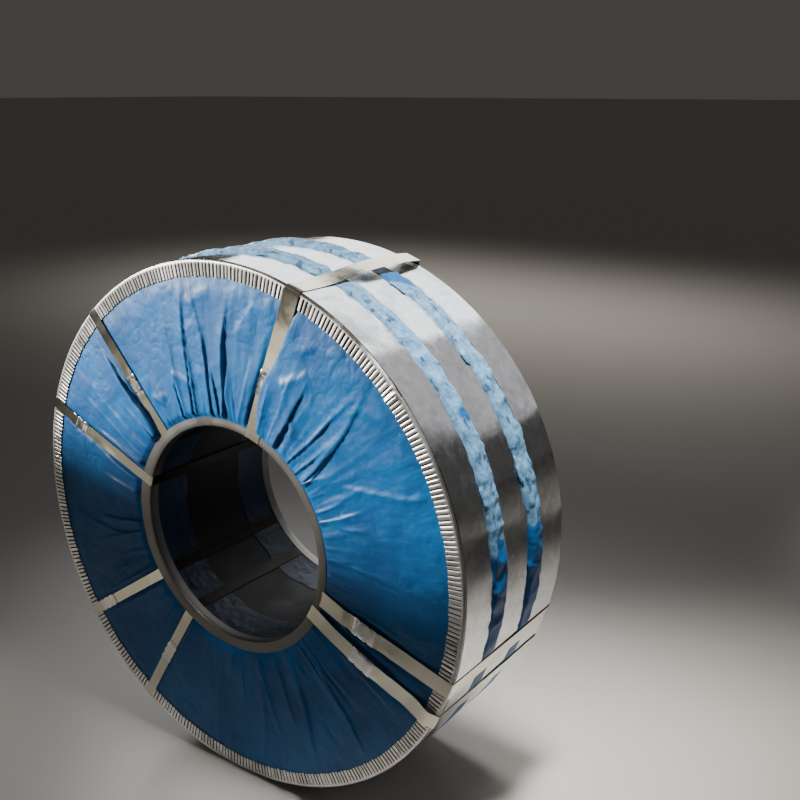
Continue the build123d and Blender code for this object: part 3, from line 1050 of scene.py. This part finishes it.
# %% How a strap stands off its route
def strap_lift(strap, run, share, across):
    """Height of a strap over its tight route, in metres, across it from -1 to 1."""
    seed = strap["seed"]
    arch = math.sin(math.pi * min(max(share, 0), 1))
    kink = strap["kink"] * MM * arch
    if run == "top":
        # Sprung towards the rear, held down at the front
        sprung = smooth(0.85, 0.35, share) * smooth(-0.3, 0.2, share)
        return strap["spring"] * MM * sprung + 0.4 * MM * arch
    if run == "eye":
        return 0.5 * MM * arch
    if run == "front" and "stands" in strap:
        radius = strap_in(strap) + corner + share * strap_span(strap)
        stands = float(np.interp(radius / MM, *zip(*strap["stands"]))) * MM
        ripple = noise.noise(Vector((share * 16, across * 0.7, seed)))
        return stands * (1 + 0.15 * across * math.sin(seed)) + kink * max(ripple + 0.2, 0)
    bow = strap["bow"] * MM * arch
    twist = 0.35 * bow * across * math.sin(seed)
    here = Vector((share * 3.2, across * 0.3, seed))
    kinks = kink * (0.5 + noise.noise(here * 2.2)) * (1 + 0.4 * across * noise.noise(here))
    return bow * (0.6 + 0.4 * math.sin(seed * 3)) + twist + max(kinks, 0)


def strap_point(strap, y, radius, facing, run, share, across, layer):
    """A point of a strap's section: across from -1 to 1, layer 0 at its inner side and 1 outside."""
    lift = strap_lift(strap, run, share, across) + sheet * layer
    if run == "top":
        turn = math.radians(strap["rim"])
    elif run == "eye":
        turn = math.radians(strap["eye"])
    else:
        turn = float(strap_line(strap, radius))
    turn = turn + across * strap["half"] * MM / radius
    return place(y + math.sin(facing) * lift, radius + math.cos(facing) * lift, turn)


def front_point(strap, radius, across, layer):
    """The same on the front end, at a radius."""
    share = (radius - strap_in(strap) - corner) / strap_span(strap)
    height = strap_height(strap, radius)
    return strap_point(strap, -height, radius, -math.pi / 2, "front", share, across, layer)


# Half a seal's length in mm, and a strap's section as points across and layer
SEAL_HALF = 28.5
STRAP_SECTION = [(-1, 0.5), (-0.98, 1), (-0.5, 1), (0, 1), (0.5, 1), (0.98, 1), (1, 0.5),
                 (0.4, 0), (-0.4, 0)]
# Faces of a plate with two layers of three stops, each with a point on either edge
PLATE = [(0, 1, 3, 2), (2, 3, 5, 4), (6, 8, 9, 7), (8, 10, 11, 9), (0, 2, 8, 6), (2, 4, 10, 8),
         (1, 7, 9, 3), (3, 9, 11, 5), (0, 6, 7, 1), (4, 5, 11, 10)]


def strap_piece(number, strap):
    """A whole strap, with the two tails that come out of its seal."""
    route = strap_route(strap)
    rows = [[strap_point(strap, *stop, across, layer) for stop in route] for across, layer in STRAP_SECTION]
    points = np.array(rows).reshape(-1, 3)
    faces = grid_faces(len(rows), len(route), True)
    # The loop's two ends come out of the seal on either side, one over the other
    draw = np.random.default_rng(70 + number)
    for side in (-1, 1):
        tail = (SEAL_HALF + draw.uniform(3, 9)) * MM
        stops = [strap["seal"] * MM + side * t for t in (18 * MM, tail - 3 * MM, tail)]
        plate = [front_point(strap, radius, across, layer)
                 for layer in (1.15, 1.95) for radius in stops for across in (-0.97, 0.97)]
        first = len(points)
        points = np.concatenate([points, np.array(plate).reshape(-1, 3)])
        faces += [[first + corner_number for corner_number in face[::side]] for face in PLATE]
    piece = make_piece(f"strap_{number + 1}", points, faces, strap_metal, f"eye_strap_{number + 1}",
                       sharp=40)
    # The runs in the eye are painted black as shade, and the side on the bands is made darker and duller
    grease_and_shade = np.zeros(len(points))
    stains_and_shade = [0.75 * (stop[3] == "eye") + 0.42 * (stop[3] == "top" and layer == 0)
              for _, layer in STRAP_SECTION for stop in route]
    grease_and_shade[:len(stains_and_shade)] = stains_and_shade
    paint(piece, "dirt", grease_and_shade)


for number, strap in enumerate(straps):
    strap_piece(number, strap)

# %% [markdown]
# A seal is a short piece of thicker strip closed round the overlapping ends of a strap and nipped
# from both edges with a crimper, which cuts and bends small tabs. The nips are what holds.

# %% Seals
# Stations along half a seal, close together at the nips, and its section across the strap
ALONG = (0.22, 0.32, 0.38, 0.46, 0.52, 0.62, 0.98, 1)
SEAL_SECTION = [(-1, -0.3), (-1, 0.75), (-0.93, 1), (-0.4, 1), (0.1, 1), (0.55, 1), (0.93, 1), (1, 0.75),
                (1, -0.3), (0.93, -1), (-0.93, -1)]


def seal_piece(number, strap):
    """A seal round a strap, nipped at two places from both edges."""
    stations = [-s for s in reversed(ALONG)] + [0, *ALONG]
    rows = []
    for across, layer in SEAL_SECTION:
        row = []
        for s in stations:
            nip = math.exp(-((abs(s) - 0.42) / 0.06) ** 2)
            dent = 0.5 * noise.noise(Vector((s * 2.5, across * 1.3, strap["seed"])))
            radius = strap["seal"] * MM + s * (SEAL_HALF * MM)
            wide = 1 + (1.6 - 4.2 * nip) / strap["half"]
            thick = 1.0 + 0.9 * nip * (abs(across) > 0.5) + dent * (layer == 1)
            pinch = 0.8 if abs(s) == 1 else 1.0
            height = 0.7 + layer * (thick + 0.45) * pinch
            row.append(front_point(strap, radius, across * wide, height * MM / sheet))
        rows.append(row)
    faces = capped_faces(len(rows), len(stations))
    node = f"strap_seal_{number + 1}"
    make_piece(f"seal_{number + 1}", np.array(rows), faces, seal_metal, node, sharp=30)


for number, strap in enumerate(straps):
    seal_piece(number, strap)

# %% [markdown]
# Floor, light and camera. The floor is a plain pale sheet. A hard lamp from the left is the main
# light. The lower edge of its cone crosses the coil, so that the lower left lies in shade. Small
# lamps straight above the floor give its bright patches, and two wide panels behind the coil are
# there for the metal to mirror: they add nothing to the dull surfaces.

# %% Stage
def stage_material(name, colour, rough):
    material = bpy.data.materials.new(name)
    material.use_nodes = True
    shader = material.node_tree.nodes["Principled BSDF"]
    shader.inputs["Base Color"].default_value = (*colour, 1)
    shader.inputs["Roughness"].default_value = rough
    return material


def hang(light, where, at, power, colour, turned=0):
    """Places a light at a point and aims it at another. Turned is its roll in degrees."""
    light.energy = power
    light.color = colour
    lamp = bpy.data.objects.new(light.name, light)
    lamp.location = where
    facing = (Vector(at) - Vector(where)).to_track_quat("-Z", "Y")
    lamp.rotation_euler = (facing @ Quaternion((0, 0, 1), math.radians(turned))).to_euler()
    bpy.context.scene.collection.objects.link(lamp)
    return lamp


def area_light(name, where, at, size, power, colour=(1, 1, 1), spread=180, turned=0):
    light = bpy.data.lights.new(name, "AREA")
    light.spread = math.radians(spread)
    light.shape = "RECTANGLE"
    light.size, light.size_y = size
    return hang(light, where, at, power, colour, turned)


def spot_light(name, where, at, size, blend, power, colour):
    light = bpy.data.lights.new(name, "SPOT")
    light.spot_size, light.spot_blend = math.radians(size), blend
    light.shadow_soft_size = 0.12
    return hang(light, where, at, power, colour)


# Half the floor's width in metres: its edge makes the horizon
FAR = 150
floor_mesh = bpy.data.meshes.new("floor")
floor_corners = [(-FAR, -FAR, 0), (FAR, -FAR, 0), (FAR, FAR, 0), (-FAR, FAR, 0)]
floor_mesh.from_pydata(floor_corners, [], [(0, 1, 2, 3)])
floor_mesh.materials.append(stage_material("floor_plain", (0.50, 0.47, 0.43), 0.8))
floor = bpy.data.objects.new("floor", floor_mesh)
bpy.context.scene.collection.objects.link(floor)
world = bpy.data.worlds.new("studio")
bpy.context.scene.world = world
world.use_nodes = True
background = world.node_tree.nodes["Background"]
background.inputs["Color"].default_value = (0.62, 0.6, 0.58, 1)
background.inputs["Strength"].default_value = 0.1
warm = (1.0, 0.97, 0.92)
# The key lamp: place, aim, width of its cone in degrees, softness of the cone's edge, power, colour
spot_light("key", (-4.6, -3.3, 2.3), (-0.8, -0.12, 2.965), 50, 0.07, 4500, (1.0, 0.98, 0.95))
# Lamps over the floor: place, aim, size, power, colour, spread in degrees, roll in degrees
area_light("front pool", (-1.7, -1.9, 3.0), (-1.7, -1.8, 0), (0.5, 0.5), 3.0, warm, 40)
area_light("low pool", (-1.02, -0.92, 1.7), (-1.02, -0.92, 0), (0.5, 0.25), 2.0, warm, 50)
area_light("far pool", (-2.65, -3.35, 2.8), (-2.65, -3.35, 0), (0.4, 1.8), 22, warm, 42, -37)
area_light("side pool", (1.05, 0.65, 2.4), (1.05, 0.65, 0), (0.4, 0.4), 2.4, warm, 40)
area_light("back pool", (-2.6, 4.9, 3.6), (-2.6, 4.9, 0), (5.0, 2.0), 34, warm, 80)
# Lamps on the coil, in the same order
area_light("top", (0.7, -0.1, 3.2), (0.5, 0.02, 0.9), (0.5, 0.3), 8, (1, 1, 1), 34)
area_light("rear", (-3.0, 1.5, 1.9), (0, 0.2, 0.75), (0.8, 0.8), 10, (0.96, 0.98, 1.0), 50)
# Panels that only the metal mirrors
mirrored = area_light("back", (-1.1, 3.2, 2.7), (-0.4, 0, 0.9), (4.0, 2.2), 73, (0.96, 0.98, 1.0))
mirrored.visible_diffuse = False
dimmer = area_light("back right", (1.65, 2.9, 2.5), (0.5, 0, 0.9), (1.4, 2.0), 4.4, (0.98, 0.97, 1.0))
dimmer.visible_diffuse = False
# The camera as it was fitted to the photo: focal length, image size and centre in pixels
camera_data = bpy.data.cameras.new("camera")
focal_px, image_px = 1033.4, 800
centre_px = (389.4, 441.1)
camera_data.sensor_width = 36
camera_data.lens = focal_px / image_px * camera_data.sensor_width
camera_data.shift_x = (image_px / 2 - centre_px[0]) / image_px
camera_data.shift_y = (centre_px[1] - image_px / 2) / image_px
camera = bpy.data.objects.new("camera", camera_data)
camera.location = (1.4976, -1.7019, 1.5420)
yaw, pitch = 35.42, 18.87
camera.rotation_euler = (math.radians(90 - pitch), 0, math.radians(yaw))
bpy.context.scene.collection.objects.link(camera)
bpy.context.scene.camera = camera
